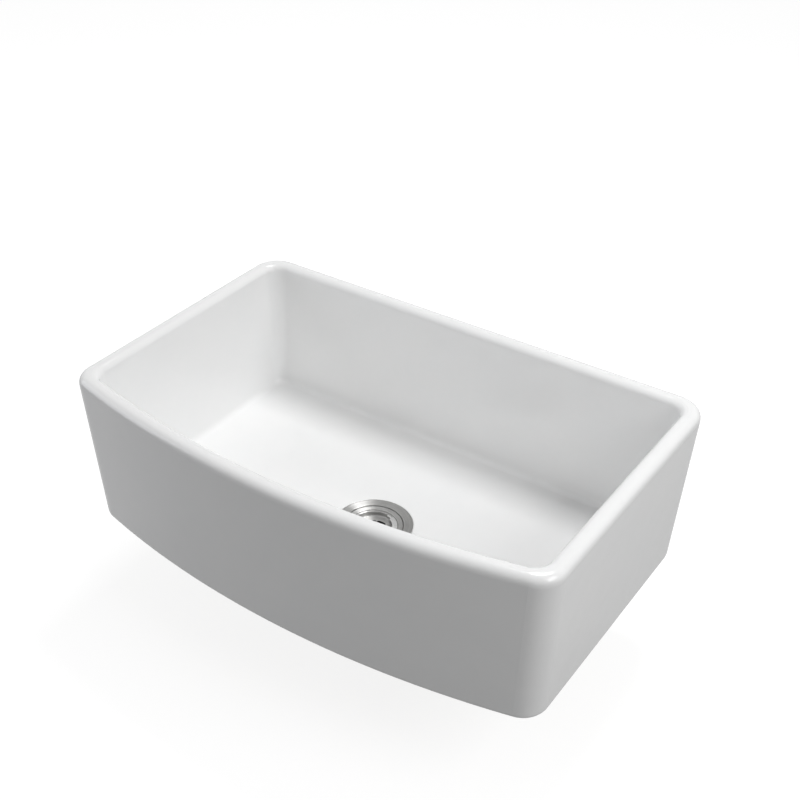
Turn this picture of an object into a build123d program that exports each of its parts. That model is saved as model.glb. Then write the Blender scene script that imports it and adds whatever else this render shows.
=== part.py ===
"""Bow-front farmhouse sink of glazed fireclay, with its basket strainer and waste outlet.

Units are millimetres. The origin is on the drain's axis, in the plane of the sink's underside.
+X is to the right, +Y to the back wall and +Z up. The apron faces -Y.
"""

import os
from math import atan, cos, degrees, radians, sin, sqrt

from build123d import *

# ---------------------------------------------------------------- sink: driving sizes
sink_width = 763.5  # 30 in class, over the rim
sink_depth = 492.2  # back wall to the middle of the bowed apron
sink_height = 242.5
drain_to_back = 255.0  # drain axis to the back face
bow_rise = 50.2  # how far the apron's middle stands in front of its ends
outer_draft = 11.5  # each side is this much further in at the underside
front_corner_radius = 37.0  # at the rim
rear_corner_radius = 42.0
foot_front_radius = 38.0  # the same corners at the underside
foot_rear_radius = 52.0
foot_rounding = 9.0  # lower outer edge
rim_width = 25.5  # outer face to bowl face at the rim
rim_outer_rounding = 12.5
rim_inner_rounding = 10.0
bowl_draft = 9.5  # each bowl wall is this much further in at the floor
bowl_corner_radius = 24.0
floor_rounding = 9.0  # wall to floor
floor_height = 28.0  # flat part of the floor above the underside
floor_fall = 3.3  # how far the floor dishes down to the drain
dish_radius = 175.0  # where the fall to the drain begins
recess_margin = 11.5  # pocket in the underside, beyond the lock nut's lugs
recess_depth = 8.5
recess_rounding = 2.0
drain_edge_rounding = 0.7  # glazed edge around the flange

# ---------------------------------------------------------------- strainer: driving sizes
shell_thickness = 1.2
flange_radius = 57.15  # 4 1/2 in flange
flange_edge_rounding = 0.7
flange_stand = 0.8  # flange top above the floor at the drain
gasket_thickness = 1.3
gasket_inset = 1.2  # gasket edge inside the flange edge
ledge_drop = 3.4  # flange top down to the ledge that carries the basket
cup_radius = 40.0  # inside
ledge_width = 3.9  # cup wall to the mouth above it
cup_depth = 54.0  # flange top down to the stopper's seat
cup_corner_radius = 7.0
bend_radius = 1.5  # sheet bends that turn down
corner_radius = 0.5  # sheet bends that turn in
thread_wall = 2.0  # cup's sheet to the crest of the strainer's own thread
thread_depth = 0.9
thread_pitch = 2.4
thread_turns = 14
neck_radius = 19.0  # inside of the neck that the stopper closes
neck_length = 5.0

outlet_wall = 3.37  # least wall, to the crest of the outlet's thread
outlet_pitch = 2.2
outlet_turns = 9
outlet_collar_width = 2.9  # beyond the thread
outlet_collar_height = 4.0
guide_step_width = 1.6  # shoulder in the outlet that the crossbar rests on

hub_wall = 3.42
hub_height = 3.0
guide_ring_width = 2.0
spoke_width = 4.0
spoke_count = 3

tail_radius = 19.05  # 1 1/2 in waste tube
tail_wall = 1.0
tail_length = 100.0
tail_flange_width = 3.35
tail_bend = 1.4
tail_gasket_thickness = 2.0

# ---------------------------------------------------------------- clamping parts: driving sizes
sink_washer_thickness = 3.0
sink_washer_width = 12.3
friction_ring_thickness = 0.8
friction_ring_width = 11.3
lock_nut_wall = 7.65
lock_nut_height = 9.0
lug_reach = 5.5
lug_width = 13.0
lug_count = 6
nut_edge = 0.8  # edge breaks on the nuts
coupling_wall = 4.25
coupling_sides = 8
coupling_engagement = 11.0  # thread held by the coupling nut
coupling_lip = 2.4

# ---------------------------------------------------------------- basket: driving sizes
sheet = 0.8
basket_rim_height = 1.7  # turned-down edge, top to bottom
rim_side_gap = 0.6  # basket rim to the strainer's mouth
sheet_bend = 1.1
sheet_corner = 0.5
dish_step_drop = 2.0  # rim top down to the step that the bail lies on
dish_step_width = 2.3
dish_depth = 9.9  # rim top down to the dish's floor
dish_floor_rounding = 2.6
slot_width = 4.2
slot_count = 8
slot_sweep = 28.0  # degrees
slot_margin = 12.5  # dish wall to the middle of the slots
hole_margin = 7.0  # slots to the ring of holes inside them
hole_count = 12
hole_radius = 1.5

bail_direction = 76.0  # degrees from +X to the bail's hinge line
bail_width = 7.6
bail_thickness = 1.2
bail_side_gap = 0.8  # bail to the wall of the dish's mouth
bail_setback = 4.8  # where the half ring starts, beside the hinge line
bail_tongue_width = 3.2
bail_corner = 1.6
hinge_lift = 0.65  # hinge line above the middle of the dish's wall
ear_thickness = 1.1
ear_wall_gap = 1.1  # ear to the dish's wall, filled by the rivet's collar
ear_floor_gap = 1.0
rivet_radius = 1.45
rivet_collar_radius = 2.0
rivet_head_gap = 0.5  # head to the step above it
rivet_head_height = 0.6

stem_radius = 4.0
shoulder_width = 2.5
shoulder_height = 4.0
stud_radius = 2.5
stud_height = 5.2  # above the shoulder
stem_tail = 17.0  # below the hub's top
stem_chamfer = 0.8
washer_width = 6.0
washer_thickness = 1.0
cap_nut_wall = 2.5
cap_nut_height = 4.0  # hexagon part
cap_nut_dome = 3.2
cap_nut_edge = 0.3

backing_overlap = 0.5  # beyond the neck's bore
backing_thickness = 1.0
seal_overlap = 4.6
seal_thickness = 3.6
seal_bevel = 1.0
retainer_gap = 5.0  # inside the neck's bore
retainer_thickness = 1.0
stopper_nut_wall = 2.5
stopper_nut_height = 3.6

ball_radius = 1.5
ball_drop = 8.0  # ball axis below the hub's top while the drain is shut
spring_wire_radius = 0.2
spring_turns = 3

# ---------------------------------------------------------------- fits
running_fit = 0.08  # radial, shaft in hole
close_fit = 0.03  # radial, parts fixed to each other
thread_fit = 0.15  # radial, between a thread and its nut
thrust_gap = 0.15  # faces that turn against each other
rest_gap = 0.3  # a moving piece above what it rests on
drain_hole_gap = 0.5  # fireclay around the strainer's mouth
flange_recess_gap = 0.85  # fireclay around the flange
washer_gap = 0.5  # washers around the thread
tail_flange_gap = 1.2  # tailpiece's flange inside the outlet's thread
basket_gap = 7.0  # dish to the cup around it
spring_gap = 0.48  # coil inside the stem's cross hole
collar_seat_gap = 0.25  # rivet collar's flat end to the curved wall

# ---------------------------------------------------------------- sizes that follow
mouth_radius = cup_radius + ledge_width
thread_radius = cup_radius + shell_thickness + thread_wall
washer_bore = thread_radius + washer_gap
sink_washer_radius = washer_bore + sink_washer_width
friction_ring_radius = washer_bore + friction_ring_width
lock_nut_radius = thread_radius + thread_fit + lock_nut_wall
recess_radius = lock_nut_radius + lug_reach + recess_margin
floor_at_drain = floor_height - floor_fall
flange_top = floor_at_drain + flange_stand
flange_under = flange_top - shell_thickness
gasket_under = flange_under - gasket_thickness
ledge_top = flange_top - ledge_drop
seat_top = flange_top - cup_depth
shell_under = seat_top - shell_thickness
neck_bottom = shell_under - neck_length
thread_top = ledge_top - shell_thickness
drain_hole_radius = mouth_radius + shell_thickness + drain_hole_gap
outlet_bottom = shell_under - outlet_collar_height - outlet_turns * outlet_pitch
outlet_bore = neck_radius + shell_thickness + close_fit
outlet_radius = max(outlet_bore + outlet_wall, tail_radius + tail_flange_width + tail_flange_gap)
outlet_collar_radius = outlet_radius + outlet_collar_width
neck_relief = bend_radius - shell_thickness + close_fit
tail_flange_radius = outlet_radius - tail_flange_gap
coupling_inradius = outlet_radius + thread_fit + coupling_wall
hub_radius = stem_radius + running_fit + hub_wall
hub_top = neck_bottom
guide_step = hub_top - hub_height
sink_washer_under = recess_depth - sink_washer_thickness
friction_ring_under = sink_washer_under - friction_ring_thickness
tail_top = outlet_bottom - tail_gasket_thickness
tail_bottom = tail_top - tail_length
rim_under = ledge_top + rest_gap
rim_top = rim_under + basket_rim_height
dish_step = rim_top - dish_step_drop
dish_floor = rim_top - dish_depth
dish_wall_radius = cup_radius - basket_gap
dish_mouth_radius = dish_wall_radius + dish_step_width
slot_ring_radius = dish_wall_radius - slot_margin
hole_ring_radius = slot_ring_radius - hole_margin
bail_under = dish_step + rest_gap
bail_radius = dish_mouth_radius - bail_side_gap
hinge_height = (dish_floor + dish_step - sheet) / 2 + hinge_lift
ear_radius = hinge_height - dish_floor - ear_floor_gap
rivet_head_radius = dish_step - sheet - rivet_head_gap - hinge_height
ear_face = dish_wall_radius - ear_wall_gap
seal_radius = neck_radius + seal_overlap
backing_radius = neck_radius + backing_overlap
retainer_radius = neck_radius - retainer_gap
seal_under = seat_top + rest_gap
backing_under = seal_under + seal_thickness
backing_top = backing_under + backing_thickness
retainer_under = seal_under - retainer_thickness
shoulder_top = dish_floor - sheet - thrust_gap
ball_height = hub_top - ball_drop
ball_offset = stem_radius - ball_radius
shoulder_radius = stem_radius + shoulder_width
washer_radius = stud_radius + washer_width
cap_nut_inradius = stud_radius + cap_nut_wall
stopper_nut_inradius = stem_radius + stopper_nut_wall
spring_radius = ball_radius + close_fit - spring_gap - spring_wire_radius


def bowed_outline(width, back_y, front_y, bow_radius, front_radius, rear_radius):
    """Outline seen from above: straight back and sides, bowed front, rounded corners."""
    half = width / 2
    side_front = front_y + bow_radius - sqrt(bow_radius**2 - half**2)
    with BuildSketch() as outline:
        with BuildLine():
            ThreePointArc((-half, side_front), (0, front_y), (half, side_front))
            Polyline((half, side_front), (half, back_y), (-half, back_y), (-half, side_front))
        make_face()
        fillet(outline.vertices().group_by(Axis.Y)[-1], radius=rear_radius)
        fillet(outline.vertices().group_by(Axis.Y)[0], radius=front_radius)
    return outline.sketch


def turned_sheet(points, radii, thickness, side):
    """Half section of a pressed sheet part, thickened to one side of its visible surface."""
    with BuildSketch(Plane.XZ) as section:
        with BuildLine():
            FilletPolyline(*points, radius=radii)
            offset(amount=thickness, side=side)
        make_face()
    return section.sketch


def thread_section(core_radius, crest_radius, depth, top, pitch, turns):
    """Half section of a threaded sleeve, its thread drawn as V grooves one pitch apart."""
    root_radius = crest_radius - depth
    flank = [(root_radius, top)]
    for turn in range(turns):
        start = top - turn * pitch
        flank.append((crest_radius, start - 0.4 * pitch))
        flank.append((crest_radius, start - 0.6 * pitch))
        flank.append((root_radius, start - pitch))
    bottom = top - turns * pitch
    with BuildSketch(Plane.XZ) as section:
        with BuildLine():
            Polyline((core_radius, top), *flank, (core_radius, bottom), close=True)
        make_face()
    return section.sketch


# ---------------------------------------------------------------- sink body
back_y = drain_to_back
front_y = back_y - sink_depth
bow_radius = ((sink_width / 2) ** 2 + bow_rise**2) / (2 * bow_rise)
bowl_depth = sink_height - floor_height

# apron, foot and bowl are concentric bows
rim_outline = bowed_outline(
    sink_width, back_y, front_y, bow_radius, front_corner_radius, rear_corner_radius
)
foot_outline = bowed_outline(
    sink_width - 2 * outer_draft,
    back_y - outer_draft,
    front_y + outer_draft,
    bow_radius - outer_draft,
    foot_front_radius,
    foot_rear_radius,
)
bowl_outline = bowed_outline(
    sink_width - 2 * rim_width,
    back_y - rim_width,
    front_y + rim_width,
    bow_radius - rim_width,
    bowl_corner_radius,
    bowl_corner_radius,
)
flange_recess_radius = flange_radius + flange_recess_gap

with BuildPart() as sink_body:
    with BuildSketch():
        add(foot_outline)
    with BuildSketch(Plane.XY.offset(sink_height)):
        add(rim_outline)
    loft()
    with BuildSketch(Plane.XY.offset(sink_height)):
        add(bowl_outline)
    extrude(amount=-bowl_depth, taper=degrees(atan(bowl_draft / bowl_depth)), mode=Mode.SUBTRACT)
    rim = sink_body.faces().sort_by(Axis.Z)[-1]
    fillet(rim.outer_wire().edges(), radius=rim_outer_rounding)
    rim = sink_body.faces().filter_by(Axis.Z).sort_by(Axis.Z)[-1]
    fillet(rim.inner_wires()[0].edges(), radius=rim_inner_rounding)
    level_faces = sink_body.faces().filter_by(Axis.Z).sort_by(Axis.Z)
    fillet(level_faces[1].outer_wire().edges(), radius=floor_rounding)
    underside = sink_body.faces().filter_by(Axis.Z).sort_by(Axis.Z)[0]
    fillet(underside.outer_wire().edges(), radius=foot_rounding)
    # the floor dishes down to the drain, tangent to the flat part
    with BuildSketch(Plane.XZ):
        with BuildLine():
            Polyline(
                (flange_recess_radius, floor_at_drain),
                (0, floor_at_drain),
                (0, sink_height),
                (dish_radius, sink_height),
                (dish_radius, floor_height),
            )
            TangentArc(
                (dish_radius, floor_height), (flange_recess_radius, floor_at_drain), tangent=(-1, 0)
            )
        make_face()
    revolve(axis=Axis.Z, mode=Mode.SUBTRACT)
    with Locations((0, 0, floor_at_drain)):
        CounterBoreHole(
            radius=drain_hole_radius,
            counter_bore_radius=flange_recess_radius,
            counter_bore_depth=floor_at_drain - gasket_under,
        )
    drain_edge = sink_body.edges().filter_by(GeomType.CIRCLE).filter_by(
        lambda edge: abs(edge.radius - flange_recess_radius) < 1e-3
    )
    fillet(drain_edge.sort_by(Axis.Z)[-1], radius=drain_edge_rounding)
    with BuildSketch():
        Circle(recess_radius)
    extrude(amount=recess_depth, mode=Mode.SUBTRACT)
    recess_edges = sink_body.edges().filter_by(GeomType.CIRCLE).filter_by(
        lambda edge: abs(edge.radius - recess_radius) < 1e-3
    )
    fillet(recess_edges, radius=recess_rounding)
sink_body.part.label = "sink_body"

# ---------------------------------------------------------------- strainer shell
with BuildPart() as strainer_body:
    add(
        turned_sheet(
            [
                (flange_radius, flange_top),
                (mouth_radius, flange_top),
                (mouth_radius, ledge_top),
                (cup_radius, ledge_top),
                (cup_radius, seat_top),
                (neck_radius, seat_top),
                (neck_radius, neck_bottom),
            ],
            [bend_radius, corner_radius, bend_radius, cup_corner_radius, bend_radius],
            shell_thickness,
            Side.LEFT,
        )
    )
    revolve(axis=Axis.Z)
    add(
        thread_section(
            cup_radius + shell_thickness / 2,
            thread_radius,
            thread_depth,
            thread_top,
            thread_pitch,
            thread_turns,
        )
    )
    revolve(axis=Axis.Z)
    flange_edge = strainer_body.edges().filter_by(GeomType.CIRCLE).sort_by(SortBy.RADIUS)[-2:]
    fillet(flange_edge.sort_by(Axis.Z)[-1], radius=flange_edge_rounding)
strainer_body.part.label = "strainer_body"

with BuildPart() as flange_gasket:
    with BuildSketch(Plane.XY.offset(gasket_under)):
        Circle(flange_radius - gasket_inset)
        Circle(drain_hole_radius, mode=Mode.SUBTRACT)
    extrude(amount=gasket_thickness)
flange_gasket.part.label = "flange_gasket"

# ---------------------------------------------------------------- outlet and its guide
with BuildPart() as outlet_tube:
    with BuildSketch(Plane.XY.offset(shell_under)):
        Circle(outlet_collar_radius)
        Circle(outlet_bore, mode=Mode.SUBTRACT)
    extrude(amount=-outlet_collar_height)
    # clears the bend of the strainer's neck
    chamfer(outlet_tube.faces().sort_by(Axis.Z)[-1].inner_wires().edges(), length=neck_relief)
    add(
        thread_section(
            outlet_bore,
            outlet_radius,
            thread_depth,
            shell_under - outlet_collar_height,
            outlet_pitch,
            outlet_turns,
        )
    )
    revolve(axis=Axis.Z)
    with BuildSketch(Plane.XY.offset(outlet_bottom)):
        Circle(outlet_bore)
        Circle(outlet_bore - guide_step_width, mode=Mode.SUBTRACT)
    extrude(amount=guide_step - outlet_bottom)
outlet_tube.part.label = "outlet_tube"

with BuildPart() as crossbar:
    guide_radius = outlet_bore - close_fit
    with BuildSketch(Plane.XY.offset(guide_step)):
        Circle(guide_radius)
        Circle(guide_radius - guide_ring_width, mode=Mode.SUBTRACT)
        with PolarLocations(0, spoke_count):
            with Locations((guide_radius / 2, 0)):
                Rectangle(guide_radius - guide_ring_width, spoke_width)
        Circle(hub_radius)
        Circle(stem_radius + running_fit, mode=Mode.SUBTRACT)
    extrude(amount=hub_height)
crossbar.part.label = "crossbar"

# ---------------------------------------------------------------- parts that clamp the strainer
with BuildPart() as sink_washer:
    with BuildSketch(Plane.XY.offset(sink_washer_under)):
        Circle(sink_washer_radius)
        Circle(washer_bore, mode=Mode.SUBTRACT)
    extrude(amount=sink_washer_thickness)
sink_washer.part.label = "sink_washer"

with BuildPart() as friction_ring:
    with BuildSketch(Plane.XY.offset(friction_ring_under)):
        Circle(friction_ring_radius)
        Circle(washer_bore, mode=Mode.SUBTRACT)
    extrude(amount=friction_ring_thickness)
friction_ring.part.label = "friction_ring"

with BuildPart() as lock_nut:
    with BuildSketch(Plane.XY.offset(friction_ring_under - lock_nut_height)):
        Circle(lock_nut_radius)
        with PolarLocations(lock_nut_radius, lug_count):
            RectangleRounded(2 * lug_reach, lug_width, radius=lug_reach / 2)
    extrude(amount=lock_nut_height)
    chamfer(lock_nut.faces().filter_by(Axis.Z).edges(), length=nut_edge)
    with BuildSketch(Plane.XY.offset(friction_ring_under)):
        Circle(thread_radius + thread_fit)
    extrude(amount=-lock_nut_height, mode=Mode.SUBTRACT)
lock_nut.part.label = "lock_nut"

# ---------------------------------------------------------------- tailpiece and its coupling
with BuildPart() as tailpiece:
    tail_bore = tail_radius - tail_wall
    add(
        turned_sheet(
            [(tail_flange_radius, tail_top), (tail_bore, tail_top), (tail_bore, tail_bottom)],
            tail_bend,
            tail_wall,
            Side.LEFT,
        )
    )
    revolve(axis=Axis.Z)
tailpiece.part.label = "tailpiece"

with BuildPart() as tailpiece_gasket:
    with BuildSketch(Plane.XY.offset(tail_top)):
        Circle(tail_flange_radius)
        Circle(tail_radius, mode=Mode.SUBTRACT)
    extrude(amount=tail_gasket_thickness)
tailpiece_gasket.part.label = "tailpiece_gasket"

with BuildPart() as coupling_nut:
    nut_top = outlet_bottom + coupling_engagement
    lip_top = tail_top - tail_wall
    nut_under = lip_top - coupling_lip
    with BuildSketch(Plane.XY.offset(nut_under)):
        RegularPolygon(coupling_inradius, coupling_sides, major_radius=False)
    extrude(amount=nut_top - nut_under)
    chamfer(coupling_nut.faces().filter_by(Axis.Z).edges(), length=nut_edge)
    with BuildSketch(Plane.XY.offset(nut_top)):
        Circle(outlet_radius + thread_fit)
    extrude(amount=lip_top - nut_top, mode=Mode.SUBTRACT)
    with BuildSketch(Plane.XY.offset(lip_top)):
        Circle(tail_radius + tail_bend - tail_wall + thread_fit)
    extrude(amount=-coupling_lip, mode=Mode.SUBTRACT)
coupling_nut.part.label = "coupling_nut"

# ---------------------------------------------------------------- basket
hinge_line = Vector(cos(radians(bail_direction)), sin(radians(bail_direction)), 0)
hinge_plane = Plane(origin=(0, 0, hinge_height), x_dir=(0, 0, 1), z_dir=hinge_line)
stud_hole_radius = stud_radius + running_fit
slot_line = CenterArc((0, 0), slot_ring_radius, -slot_sweep / 2, slot_sweep)

with BuildPart() as basket_cup:
    basket_radius = mouth_radius - rim_side_gap
    add(
        turned_sheet(
            [
                (basket_radius, rim_under),
                (basket_radius, rim_top),
                (dish_mouth_radius, rim_top),
                (dish_mouth_radius, dish_step),
                (dish_wall_radius, dish_step),
                (dish_wall_radius, dish_floor),
                (stud_hole_radius, dish_floor),
            ],
            [sheet_bend, sheet_bend, sheet_corner, sheet_bend, dish_floor_rounding],
            sheet,
            Side.LEFT,
        )
    )
    revolve(axis=Axis.Z)
    with BuildSketch(Plane.XY.offset(dish_floor)):
        with PolarLocations(0, slot_count):
            SlotArc(slot_line, slot_width)
        with PolarLocations(hole_ring_radius, hole_count):
            Circle(hole_radius)
    extrude(amount=-2 * sheet, mode=Mode.SUBTRACT)
    with BuildSketch(hinge_plane):
        Circle(rivet_radius + close_fit)
    extrude(amount=basket_radius, both=True, mode=Mode.SUBTRACT)
basket_cup.part.label = "basket_cup"

# ---------------------------------------------------------------- bail and its rivets
bail_plane = Plane(origin=(0, 0, bail_under), x_dir=hinge_line, z_dir=(0, 0, 1))
with BuildPart() as bail_handle:
    with BuildSketch(bail_plane) as half_ring:
        Circle(bail_radius)
        Circle(bail_radius - bail_width, mode=Mode.SUBTRACT)
        with Locations((0, -bail_setback)):
            Rectangle(
                3 * bail_radius,
                2 * bail_radius,
                align=(Align.CENTER, Align.MIN),
                mode=Mode.SUBTRACT,
            )
        fillet(half_ring.vertices(), radius=bail_corner)
        for side in (-1, 1):
            with Locations((side * (ear_face - bail_tongue_width / 2), ear_radius)):
                Rectangle(
                    bail_tongue_width,
                    ear_radius + bail_setback + bail_corner,
                    align=(Align.CENTER, Align.MAX),
                )
    extrude(amount=bail_thickness)
    # each ear hangs from its tongue and is rounded about the hinge
    ear_height = bail_under + bail_thickness - hinge_height
    for side in (-1, 1):
        ear_plane = hinge_plane.offset(side * ear_face)
        with BuildSketch(ear_plane):
            Circle(ear_radius)
            Rectangle(ear_height, 2 * ear_radius, align=(Align.MIN, Align.CENTER))
            Circle(rivet_radius + running_fit, mode=Mode.SUBTRACT)
        extrude(amount=-side * ear_thickness)
bail_handle.part.label = "bail_handle"

with BuildPart() as bail_rivets:
    head_start = ear_face - ear_thickness - thrust_gap
    collar_start = ear_face + thrust_gap
    collar_end = dish_wall_radius - collar_seat_gap
    tail_start = dish_wall_radius + sheet + close_fit
    for side in (-1, 1):
        stations = [
            (head_start - rivet_head_height, head_start, rivet_head_radius),
            (head_start, tail_start, rivet_radius),
            (collar_start, collar_end, rivet_collar_radius),
            (tail_start, tail_start + rivet_head_height, rivet_head_radius),
        ]
        for start, end, radius in stations:
            with BuildSketch(hinge_plane.offset(side * start)):
                Circle(radius)
            extrude(amount=side * (end - start))
bail_rivets.part.label = "bail_rivets"

# ---------------------------------------------------------------- stem, its nuts and the latch
with BuildPart() as stem:
    with BuildSketch(Plane.XZ):
        with BuildLine():
            Polyline(
                (0, shoulder_top + stud_height),
                (stud_radius, shoulder_top + stud_height),
                (stud_radius, shoulder_top),
                (shoulder_radius, shoulder_top),
                (shoulder_radius, shoulder_top - shoulder_height),
                (stem_radius, shoulder_top - shoulder_height - shoulder_radius + stem_radius),
                (stem_radius, backing_top + shoulder_radius - stem_radius + retainer_thickness),
                (shoulder_radius, backing_top + retainer_thickness),
                (shoulder_radius, backing_top),
                (stem_radius, backing_top),
                (stem_radius, hub_top - stem_tail + stem_chamfer),
                (stem_radius - stem_chamfer, hub_top - stem_tail),
                (0, hub_top - stem_tail),
                close=True,
            )
        make_face()
    revolve(axis=Axis.Z)
    with BuildSketch(Plane.YZ):
        with Locations((0, ball_height)):
            Circle(ball_radius + close_fit)
    extrude(amount=shoulder_radius, both=True, mode=Mode.SUBTRACT)
stem.part.label = "stem"

washer_under = dish_floor + thrust_gap
washer_top = washer_under + washer_thickness

with BuildPart() as stem_washer:
    with BuildSketch(Plane.XY.offset(washer_under)):
        Circle(washer_radius)
        Circle(stud_radius + close_fit, mode=Mode.SUBTRACT)
    extrude(amount=washer_thickness)
stem_washer.part.label = "stem_washer"

with BuildPart() as cap_nut:
    with BuildSketch(Plane.XY.offset(washer_top)):
        RegularPolygon(cap_nut_inradius, 6, major_radius=False)
    extrude(amount=cap_nut_height)
    dome_radius = cap_nut_inradius - cap_nut_edge
    with Locations((0, 0, washer_top + cap_nut_height + cap_nut_dome - dome_radius)):
        Sphere(dome_radius, arc_size1=0, align=(Align.CENTER, Align.CENTER, Align.MIN))
    with BuildSketch(Plane.XY.offset(washer_top)):
        Circle(stud_radius + close_fit)
    extrude(amount=shoulder_top + stud_height + thrust_gap - washer_top, mode=Mode.SUBTRACT)
cap_nut.part.label = "cap_nut"

disc_bore = stem_radius + close_fit

with BuildPart() as stopper_backing:
    with BuildSketch(Plane.XY.offset(backing_under)):
        Circle(backing_radius)
        Circle(disc_bore, mode=Mode.SUBTRACT)
    extrude(amount=backing_thickness)
stopper_backing.part.label = "stopper_backing"

with BuildPart() as stopper_retainer:
    with BuildSketch(Plane.XY.offset(retainer_under)):
        Circle(retainer_radius)
        Circle(disc_bore, mode=Mode.SUBTRACT)
    extrude(amount=retainer_thickness)
stopper_retainer.part.label = "stopper_retainer"

with BuildPart() as stopper_seal:
    with BuildSketch(Plane.XY.offset(seal_under)):
        Circle(seal_radius)
    extrude(amount=seal_thickness)
    chamfer(stopper_seal.edges().filter_by(GeomType.CIRCLE), length=seal_bevel)
    with BuildSketch(Plane.XY.offset(seal_under)):
        Circle(disc_bore)
    extrude(amount=seal_thickness, mode=Mode.SUBTRACT)
stopper_seal.part.label = "stopper_seal"

with BuildPart() as stopper_nut:
    with BuildSketch(Plane.XY.offset(retainer_under)):
        RegularPolygon(stopper_nut_inradius, 6, major_radius=False)
        Circle(disc_bore, mode=Mode.SUBTRACT)
    extrude(amount=-stopper_nut_height)
stopper_nut.part.label = "stopper_nut"

with BuildPart() as latch_balls:
    with Locations((-ball_offset, 0, ball_height), (ball_offset, 0, ball_height)):
        Sphere(ball_radius)
latch_balls.part.label = "latch_balls"

with BuildPart() as latch_spring:
    ball_cap = sqrt(ball_radius**2 - spring_radius**2)
    spring_reach = ball_offset - ball_cap - spring_wire_radius - close_fit
    with BuildLine():
        coil = Helix(
            pitch=2 * spring_reach / spring_turns,
            height=2 * spring_reach,
            radius=spring_radius,
            center=(-spring_reach, 0, ball_height),
            direction=(1, 0, 0),
        )
    with BuildSketch(coil ^ 0):
        Circle(spring_wire_radius)
    sweep(is_frenet=True)
latch_spring.part.label = "latch_spring"

# ---------------------------------------------------------------- files
pieces = [
    sink_body.part,
    strainer_body.part,
    flange_gasket.part,
    outlet_tube.part,
    crossbar.part,
    sink_washer.part,
    friction_ring.part,
    lock_nut.part,
    tailpiece.part,
    tailpiece_gasket.part,
    coupling_nut.part,
    basket_cup.part,
    bail_handle.part,
    bail_rivets.part,
    stem.part,
    stem_washer.part,
    cap_nut.part,
    stopper_backing.part,
    stopper_seal.part,
    stopper_retainer.part,
    stopper_nut.part,
    latch_balls.part,
    latch_spring.part,
]
os.makedirs("parts", exist_ok=True)
for piece in pieces:
    export_step(piece, f"parts/{piece.label}.step")
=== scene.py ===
from math import radians

import bpy
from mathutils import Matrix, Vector

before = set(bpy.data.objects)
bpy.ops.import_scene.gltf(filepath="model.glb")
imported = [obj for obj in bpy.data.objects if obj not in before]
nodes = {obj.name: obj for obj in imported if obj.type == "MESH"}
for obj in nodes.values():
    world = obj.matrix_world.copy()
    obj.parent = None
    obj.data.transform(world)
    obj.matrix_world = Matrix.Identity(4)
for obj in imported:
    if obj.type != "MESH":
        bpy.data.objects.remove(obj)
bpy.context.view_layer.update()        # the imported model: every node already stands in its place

# Bow-front fireclay sink with its basket strainer, in plain studio light.

print("frame loaded:", len(nodes), "nodes")

# camera, at the photograph's angle
camera = {
    "place": (0.8393, -1.1700, 1.2102),
    "turn": (56.0685, -0.3092, 34.3769),   # degrees
    "lens": 57.75,                         # millimetres, on the sensor below
    "sensor": 36.0,
    "farthest": 60.0,
}

cameraTurn = [radians(angle) for angle in camera["turn"]]
bpy.ops.object.camera_add(location=camera["place"], rotation=cameraTurn)
cameraObject = bpy.context.object
cameraObject.name = "studioCamera"
cameraObject.data.lens = camera["lens"]
cameraObject.data.sensor_width = camera["sensor"]
cameraObject.data.clip_end = camera["farthest"]
bpy.context.scene.camera = cameraObject
bpy.context.scene.view_settings.view_transform = "Standard"
print("camera set")


# small helpers for the node trees; x and y are only places in the node editor
def addNode(tree, kind, x, y, **settings):
    node = tree.nodes.new(kind)
    node.location = (x, y)
    for key, value in settings.items():
        setattr(node, key, value)
    return node


def joinSockets(tree, fromSocket, toSocket):
    tree.links.new(fromSocket, toSocket)


def fillSocket(tree, socket, value):
    # colours and numbers are typed in, another node's output is linked
    if isinstance(value, tuple):
        socket.default_value = (*value, 1.0)
    elif isinstance(value, (int, float)):
        socket.default_value = value
    else:
        joinSockets(tree, value, socket)


def mathStep(tree, operation, x, y, *values):
    node = addNode(tree, "ShaderNodeMath", x, y, operation=operation)
    for socket, value in zip(node.inputs, values):
        fillSocket(tree, socket, value)
    return node.outputs[0]


def noiseStep(tree, x, y, vector, scale, detail, roughness):
    node = addNode(tree, "ShaderNodeTexNoise", x, y)
    joinSockets(tree, vector, node.inputs["Vector"])
    node.inputs["Scale"].default_value = scale
    node.inputs["Detail"].default_value = detail
    node.inputs["Roughness"].default_value = roughness
    return node.outputs["Fac"]


def rangeStep(tree, x, y, *values):
    # values: what is mapped, from low, from high, to low, to high
    node = addNode(tree, "ShaderNodeMapRange", x, y)
    labels = ("Value", "From Min", "From Max", "To Min", "To Max")
    for label, value in zip(labels, values):
        fillSocket(tree, node.inputs[label], value)
    return node.outputs["Result"]


def mixColours(tree, x, y, factor, first, second):
    node = addNode(tree, "ShaderNodeMix", x, y, data_type="RGBA")
    joinSockets(tree, factor, node.inputs["Factor"])
    fillSocket(tree, node.inputs[6], first)       # 6 and 7 are its two colours, 2 the mixed one
    fillSocket(tree, node.inputs[7], second)
    return node.outputs[2]


def objectPoint(tree, x, y):
    return addNode(tree, "ShaderNodeTexCoord", x, y).outputs["Object"]


def splitPoint(tree, x, y, point):
    split = addNode(tree, "ShaderNodeSeparateXYZ", x, y)
    joinSockets(tree, point, split.inputs[0])
    return split.outputs


def reachFromAxis(tree, x, y, split):
    # distance from the drain's axis, which stands at the origin
    flat = addNode(tree, "ShaderNodeCombineXYZ", x, y)
    joinSockets(tree, split["X"], flat.inputs["X"])
    joinSockets(tree, split["Y"], flat.inputs["Y"])
    reach = addNode(tree, "ShaderNodeVectorMath", x + 160, y, operation="LENGTH")
    joinSockets(tree, flat.outputs[0], reach.inputs[0])
    return reach.outputs["Value"]


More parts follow.
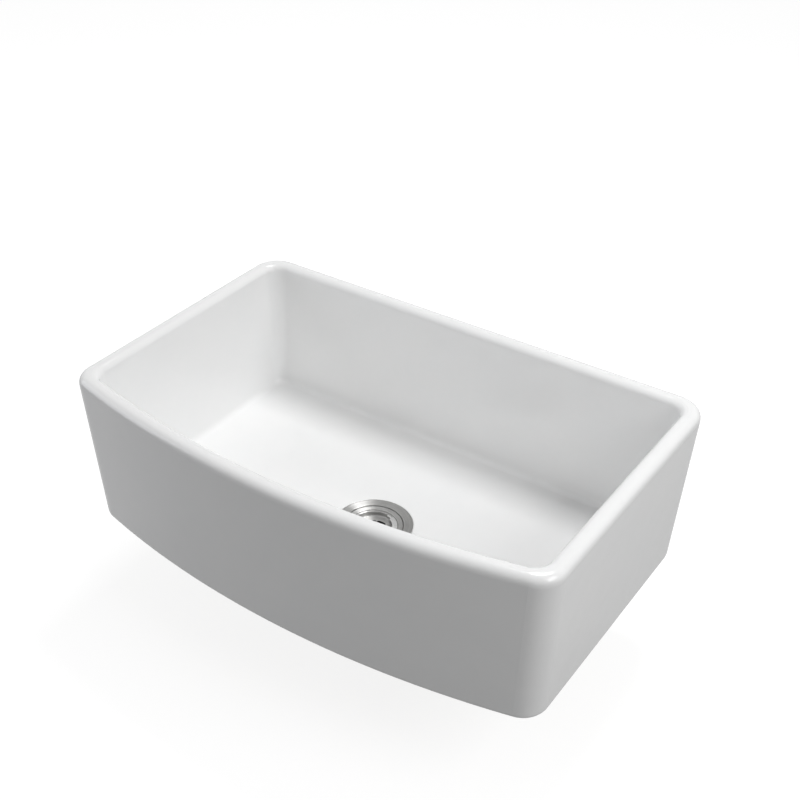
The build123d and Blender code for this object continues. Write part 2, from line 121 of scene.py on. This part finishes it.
def newGroup(name, inputs, outputs):
    # a shader node group with named number sockets
    group = bpy.data.node_groups.new(name, "ShaderNodeTree")
    for label, value in inputs.items():
        socket = group.interface.new_socket(name=label, in_out="INPUT", socket_type="NodeSocketFloat")
        socket.default_value = value
    for label in outputs:
        group.interface.new_socket(name=label, in_out="OUTPUT", socket_type="NodeSocketFloat")
    start = addNode(group, "NodeGroupInput", -1200, 0)
    end = addNode(group, "NodeGroupOutput", 600, 0)
    return group, start.outputs, end.inputs


def placeGroup(tree, group, x, y, values):
    node = addNode(tree, "ShaderNodeGroup", x, y, node_tree=group)
    for label, value in values.items():
        node.inputs[label].default_value = value
    return node.outputs


def newMaterial(name, values):
    # its constant values are typed on the shader's own sockets
    material = bpy.data.materials.new(name)
    material.use_nodes = True
    tree = material.node_tree
    shader = tree.nodes["Principled BSDF"]
    for label, value in values.items():
        fillSocket(tree, shader.inputs[label], value)
    return material, tree, shader


def bumpStep(tree, shader, height, distance):
    bump = addNode(tree, "ShaderNodeBump", -220, -320)
    bump.inputs["Strength"].default_value = 1.0
    bump.inputs["Distance"].default_value = distance
    joinSockets(tree, height, bump.inputs["Height"])
    joinSockets(tree, bump.outputs["Normal"], shader.inputs["Normal"])


# fine lines round the drain's axis, as turning and brushing leave them
lineLook = {
    "lobes": 3.0,                 # slow changes in one turn
    "drift": 0.35,                # how far the lines wander with them
    "noise": (1.0, 5.0, 0.7),     # scale, detail, roughness
    "contrast": (0.3, 0.7),
}


def buildTurnedLines():
    sockets = {"Lines": 2600.0, "Low": 0.3, "High": 0.6}
    group, start, end = newGroup("turnedLines", sockets, ("Shade", "Height"))
    split = splitPoint(group, -1020, 300, objectPoint(group, -1200, 300))
    reach = reachFromAxis(group, -860, 420, split)
    turn = mathStep(group, "ARCTAN2", -860, 240, split["Y"], split["X"])
    lobes = mathStep(group, "MULTIPLY", -780, 180, turn, lineLook["lobes"])
    lobes = mathStep(group, "SINE", -700, 240, lobes)
    rings = addNode(group, "ShaderNodeCombineXYZ", -540, 340)
    outwards = mathStep(group, "MULTIPLY", -620, 420, reach, start["Lines"])
    upwards = mathStep(group, "MULTIPLY", -620, 300, split["Z"], start["Lines"])
    drift = mathStep(group, "MULTIPLY", -620, 160, lobes, lineLook["drift"])
    joinSockets(group, outwards, rings.inputs["X"])
    joinSockets(group, upwards, rings.inputs["Y"])
    joinSockets(group, drift, rings.inputs["Z"])
    lines = noiseStep(group, -360, 340, rings.outputs[0], *lineLook["noise"])
    shade = rangeStep(group, -120, 340, lines, *lineLook["contrast"], start["Low"], start["High"])
    joinSockets(group, shade, end["Shade"])
    joinSockets(group, lines, end["Height"])
    return group


# soft clouds of handling marks and dried water, two sizes
markLook = {
    "wide": (1.0, 4.0, 0.55),     # scale, detail, roughness
    "small": (7.0, 3.0, 0.6),
    "shares": (0.7, 0.3),         # of the wide and of the small ones
    "contrast": (0.35, 0.65),
}


def buildSoftMarks():
    sockets = {"Scale": 30.0, "Low": 0.0, "High": 1.0}
    group, start, end = newGroup("softMarks", sockets, ("Shade",))
    scaled = addNode(group, "ShaderNodeVectorMath", -980, 300, operation="SCALE")
    joinSockets(group, objectPoint(group, -1200, 300), scaled.inputs[0])
    joinSockets(group, start["Scale"], scaled.inputs["Scale"])
    wide = noiseStep(group, -760, 400, scaled.outputs[0], *markLook["wide"])
    small = noiseStep(group, -760, 160, scaled.outputs[0], *markLook["small"])
    wide = mathStep(group, "MULTIPLY", -620, 400, wide, markLook["shares"][0])
    small = mathStep(group, "MULTIPLY", -620, 160, small, markLook["shares"][1])
    both = mathStep(group, "ADD", -480, 300, wide, small)
    shade = rangeStep(group, -220, 300, both, *markLook["contrast"], start["Low"], start["High"])
    joinSockets(group, shade, end["Shade"])
    return group


turnedLines = buildTurnedLines()
softMarks = buildSoftMarks()
print("surface effects built")

# glazed fireclay, bare on the foot and in the pocket round the drain
glaze = {
    "shader": {"IOR": 1.5, "Specular IOR Level": 0.5},
    "white": (0.93, 0.93, 0.927),
    "pooled": (0.915, 0.919, 0.919),     # a shade cooler where the glaze lies thicker
    "cloudScale": 9.0,
    "roughness": (0.10, 0.16),
    "waves": (14.0, 1.5, 0.4),           # scale, detail, roughness
    "waviness": 0.0009,                  # metres, slow undulation of the fired face
    "footHeight": 0.0016,                # the glaze stops this far above the underside
    "footWander": 0.0012,                # how far that edge wanders up and down
    "footNoise": (60.0, 3.0, 0.5),
    "pocketRadius": 0.0705,
    "pocketHeight": 0.022,
}
bareClay = {
    "light": (0.63, 0.56, 0.46),
    "dark": (0.54, 0.48, 0.40),
    "roughness": 0.85,
    "grain": (900.0, 4.0, 0.7),
    "depth": 0.0004,
}


def makeGlaze():
    material, tree, shader = newMaterial("glazedFireclay", glaze["shader"])
    point = objectPoint(tree, -1500, 200)
    clouds = placeGroup(tree, softMarks, -1000, 260, {"Scale": glaze["cloudScale"], "Low": 0.0, "High": 1.0})
    colour = mixColours(tree, -760, 260, clouds["Shade"], glaze["white"], glaze["pooled"])

    # where the clay is bare
    split = splitPoint(tree, -1260, -60, point)
    ragged = noiseStep(tree, -1260, -260, point, *glaze["footNoise"])
    wander = mathStep(tree, "MULTIPLY", -1120, -260, ragged, glaze["footWander"])
    edge = mathStep(tree, "ADD", -1040, -120, split["Z"], wander)
    footTop = glaze["footHeight"] + glaze["footWander"] / 2
    foot = mathStep(tree, "LESS_THAN", -860, -160, edge, footTop)
    reach = reachFromAxis(tree, -1260, -440, split)
    inPocket = mathStep(tree, "LESS_THAN", -940, -440, reach, glaze["pocketRadius"])
    lowEnough = mathStep(tree, "LESS_THAN", -940, -560, split["Z"], glaze["pocketHeight"])
    pocket = mathStep(tree, "MULTIPLY", -780, -500, inPocket, lowEnough)
    bare = mathStep(tree, "MAXIMUM", -640, -300, foot, pocket)

    grains = noiseStep(tree, -1000, -700, point, *bareClay["grain"])
    clay = mixColours(tree, -640, -560, grains, bareClay["light"], bareClay["dark"])
    surface = mixColours(tree, -420, 120, bare, colour, clay)
    joinSockets(tree, surface, shader.inputs["Base Color"])
    gloss = rangeStep(tree, -640, 0, clouds["Shade"], 0.0, 1.0, *glaze["roughness"])
    gloss = rangeStep(tree, -420, -60, bare, 0.0, 1.0, gloss, bareClay["roughness"])
    joinSockets(tree, gloss, shader.inputs["Roughness"])

    # slow waves of the fired glaze, and grain where the clay is bare
    waves = noiseStep(tree, -1000, -900, point, *glaze["waves"])
    waveHeight = mathStep(tree, "MULTIPLY", -780, -900, waves, glaze["waviness"])
    bareGrains = mathStep(tree, "MULTIPLY", -900, -1060, grains, bare)
    grainHeight = mathStep(tree, "MULTIPLY", -780, -1060, bareGrains, bareClay["depth"])
    height = mathStep(tree, "ADD", -560, -960, waveHeight, grainHeight)
    bumpStep(tree, shader, height, 1.0)
    return material


# metals brushed or turned round the drain's axis
# lines and marks are scales, depth is the lines' height in metres
turnedShares = (0.65, 0.35)       # of the lines and of the marks
turnedMetals = {
    "shellSteel": {
        "dark": (0.30, 0.297, 0.29),
        "light": (0.47, 0.467, 0.46),
        "rough": (0.32, 0.42),
        "lines": 1500.0,
        "marks": 60.0,
        "depth": 0.00002,
        "shader": {"Metallic": 1.0, "Anisotropic": 0.95, "Anisotropic Rotation": 0.25},
    },
    "sheetSteel": {
        "dark": (0.32, 0.317, 0.31),
        "light": (0.50, 0.497, 0.49),
        "rough": (0.32, 0.42),
        "lines": 1900.0,
        "marks": 90.0,
        "depth": 0.000015,
        "shader": {"Metallic": 1.0, "Anisotropic": 0.95, "Anisotropic Rotation": 0.25},
    },
    "bailSteel": {
        "dark": (0.50, 0.50, 0.495),
        "light": (0.64, 0.64, 0.635),
        "rough": (0.24, 0.34),
        "lines": 1800.0,
        "marks": 120.0,
        "depth": 0.00001,
        "shader": {"Metallic": 1.0, "Anisotropic": 0.4, "Anisotropic Rotation": 0.25},
    },
    "turnedSteel": {
        "dark": (0.48, 0.48, 0.475),
        "light": (0.64, 0.64, 0.635),
        "rough": (0.18, 0.28),
        "lines": 4200.0,
        "marks": 200.0,
        "depth": 0.000012,
        "shader": {"Metallic": 1.0},
    },
    "brass": {
        "dark": (0.58, 0.42, 0.20),
        "light": (0.76, 0.58, 0.30),
        "rough": (0.22, 0.36),
        "lines": 2400.0,
        "marks": 80.0,
        "depth": 0.00002,
        "shader": {"Metallic": 1.0},
    },
}


def makeTurnedMetal(name, look):
    material, tree, shader = newMaterial(name, look["shader"])
    lines = placeGroup(tree, turnedLines, -900, 200, {"Lines": look["lines"], "Low": 0.0, "High": 1.0})
    marks = placeGroup(tree, softMarks, -900, -60, {"Scale": look["marks"], "Low": 0.0, "High": 1.0})
    lineShare = mathStep(tree, "MULTIPLY", -760, 200, lines["Shade"], turnedShares[0])
    markShare = mathStep(tree, "MULTIPLY", -760, 20, marks["Shade"], turnedShares[1])
    mixed = mathStep(tree, "ADD", -640, 120, lineShare, markShare)
    colour = mixColours(tree, -420, 200, mixed, look["dark"], look["light"])
    joinSockets(tree, colour, shader.inputs["Base Color"])
    roughness = rangeStep(tree, -420, -40, mixed, 0.0, 1.0, *look["rough"])
    joinSockets(tree, roughness, shader.inputs["Roughness"])
    bumpStep(tree, shader, lines["Height"], look["depth"])
    return material


# cast and plated metal, rubber and fibre: mottled, grained, with no one direction
# marks is a scale, grain is scale, detail and roughness, depth is the grain's height in metres
grainedLooks = {
    "castBrass": {
        "dark": (0.50, 0.37, 0.19),
        "light": (0.70, 0.54, 0.29),
        "rough": (0.34, 0.52),
        "marks": 70.0,
        "grain": (1400.0, 4.0, 0.6),
        "depth": 0.00012,
        "shader": {"Metallic": 1.0},
    },
    "chrome": {
        "dark": (0.72, 0.73, 0.74),
        "light": (0.82, 0.83, 0.84),
        "rough": (0.05, 0.12),
        "marks": 40.0,
        "grain": (300.0, 4.0, 0.6),
        "depth": 0.00001,
        "shader": {"Metallic": 1.0},
    },
    "rubber": {
        "dark": (0.018, 0.018, 0.019),
        "light": (0.040, 0.040, 0.042),
        "rough": (0.55, 0.75),
        "marks": 60.0,
        "grain": (2200.0, 5.0, 0.7),
        "depth": 0.00006,
        "shader": {"Specular IOR Level": 0.35},
    },
    "fibre": {
        "dark": (0.38, 0.29, 0.19),
        "light": (0.56, 0.45, 0.31),
        "rough": (0.7, 0.9),
        "marks": 160.0,
        "grain": (1600.0, 5.0, 0.7),
        "depth": 0.00012,
        "shader": {"Specular IOR Level": 0.35},
    },
}


def makeGrained(name, look):
    material, tree, shader = newMaterial(name, look["shader"])
    point = objectPoint(tree, -1300, 0)
    marks = placeGroup(tree, softMarks, -900, 100, {"Scale": look["marks"], "Low": 0.0, "High": 1.0})
    colour = mixColours(tree, -420, 200, marks["Shade"], look["dark"], look["light"])
    joinSockets(tree, colour, shader.inputs["Base Color"])
    roughness = rangeStep(tree, -420, -40, marks["Shade"], 0.0, 1.0, *look["rough"])
    joinSockets(tree, roughness, shader.inputs["Roughness"])
    grain = noiseStep(tree, -900, -300, point, *look["grain"])
    bumpStep(tree, shader, grain, look["depth"])
    return material


finishes = {"glaze": makeGlaze()}
for name, look in turnedMetals.items():
    finishes[name] = makeTurnedMetal(name, look)
for name, look in grainedLooks.items():
    finishes[name] = makeGrained(name, look)

nodeFinish = {
    "sink_body": "glaze",
    "strainer_body": "shellSteel",
    "basket_cup": "sheetSteel",
    "bail_handle": "bailSteel",
    "bail_rivets": "turnedSteel",
    "stem": "turnedSteel",
    "stem_washer": "turnedSteel",
    "cap_nut": "turnedSteel",
    "stopper_backing": "sheetSteel",
    "stopper_retainer": "sheetSteel",
    "stopper_nut": "brass",
    "latch_balls": "turnedSteel",
    "latch_spring": "turnedSteel",
    "stopper_seal": "rubber",
    "flange_gasket": "rubber",
    "sink_washer": "rubber",
    "tailpiece_gasket": "rubber",
    "friction_ring": "fibre",
    "outlet_tube": "brass",
    "crossbar": "brass",
    "lock_nut": "castBrass",
    "tailpiece": "chrome",
    "coupling_nut": "chrome",
}

for name, finish in nodeFinish.items():
    mesh = nodes[name].data
    mesh.materials.clear()
    mesh.materials.append(finishes[finish])
print("finishes on", len(nodeFinish), "nodes")

# studio: floor, lamps and world
studio = {
    "floorHeight": -0.1577,                # just below the end of the waste tube
    "floorSize": 30.0,
    "floorColour": (0.30, 0.30, 0.30),     # what the object sees of the floor
    "floorRoughness": 0.9,
    "floorGlow": 0.83,                     # what the camera sees on top of that
    "mirroredGlow": 0.4,                   # what reflections see on top of that
    "worldColour": (1.0, 1.0, 1.0),
    "worldLevel": 0.26,                    # on the object; camera and reflections see 1
    "seenLevel": 1.0,
    "lampTarget": (0.0, 0.0, 0.12),
}
lamps = {
    "keyLamp": {"power": 16.5, "place": (1.75, -0.15, 1.45), "size": 1.0, "colour": (1.0, 1.0, 1.0)},
    "topLamp": {"power": 35.4, "place": (0.0, 1.0, 2.8), "size": 0.8, "colour": (1.0, 1.0, 1.0)},
    "fillLamp": {"power": 19.2, "place": (-2.6, -1.2, 0.9), "size": 1.8, "colour": (0.96, 0.97, 1.0)},
}


def makeFloorMaterial():
    # it takes the object's shadow; the object is lit by its plain colour, while the camera
    # and the reflections see it glow
    plain = {"Base Color": studio["floorColour"], "Roughness": studio["floorRoughness"]}
    material, tree, shader = newMaterial("studioFloor", plain)
    ray = addNode(tree, "ShaderNodeLightPath", -700, 500).outputs
    seen = mathStep(tree, "MULTIPLY", -420, 560, ray["Is Camera Ray"], studio["floorGlow"])
    mirrored = mathStep(tree, "MAXIMUM", -520, 420, ray["Is Glossy Ray"], ray["Is Transmission Ray"])
    strength = mathStep(tree, "MULTIPLY_ADD", -320, 500, mirrored, studio["mirroredGlow"], seen)
    glow = addNode(tree, "ShaderNodeEmission", -160, 400)
    joinSockets(tree, strength, glow.inputs["Strength"])
    lit = addNode(tree, "ShaderNodeAddShader", 60, 300)
    joinSockets(tree, glow.outputs[0], lit.inputs[0])
    joinSockets(tree, shader.outputs[0], lit.inputs[1])

    # from underneath it is clear, so the sink's underside stays in view
    side = addNode(tree, "ShaderNodeNewGeometry", 60, 560)
    clear = addNode(tree, "ShaderNodeBsdfTransparent", 60, 120)
    oneWay = addNode(tree, "ShaderNodeMixShader", 260, 300)
    joinSockets(tree, side.outputs["Backfacing"], oneWay.inputs[0])
    joinSockets(tree, lit.outputs[0], oneWay.inputs[1])
    joinSockets(tree, clear.outputs[0], oneWay.inputs[2])
    joinSockets(tree, oneWay.outputs[0], tree.nodes["Material Output"].inputs["Surface"])
    return material


def addLamp(name, look):
    bpy.ops.object.light_add(type="AREA", location=look["place"])
    lamp = bpy.context.object
    lamp.name = name
    lamp.data.energy = look["power"]
    lamp.data.size = look["size"]
    lamp.data.color = look["colour"]
    aim = Vector(studio["lampTarget"]) - Vector(look["place"])
    lamp.rotation_euler = aim.to_track_quat("-Z", "Y").to_euler()


def makeWorld():
    world = bpy.data.worlds.new("studioWorld")
    bpy.context.scene.world = world
    world.use_nodes = True
    tree = world.node_tree
    background = tree.nodes["Background"]
    fillSocket(tree, background.inputs["Color"], studio["worldColour"])
    ray = addNode(tree, "ShaderNodeLightPath", -700, 200).outputs
    seen = mathStep(tree, "MAXIMUM", -560, 200, ray["Is Camera Ray"], ray["Is Glossy Ray"])
    seen = mathStep(tree, "MAXIMUM", -460, 200, seen, ray["Is Transmission Ray"])
    strength = rangeStep(tree, -240, 200, seen, 0.0, 1.0, studio["worldLevel"], studio["seenLevel"])
    joinSockets(tree, strength, background.inputs["Strength"])


bpy.ops.mesh.primitive_plane_add(size=studio["floorSize"], location=(0, 0, studio["floorHeight"]))
floor = bpy.context.object
floor.name = "studioFloor"
floor.data.materials.append(makeFloorMaterial())

for name, look in lamps.items():
    addLamp(name, look)
makeWorld()
print("studio set")
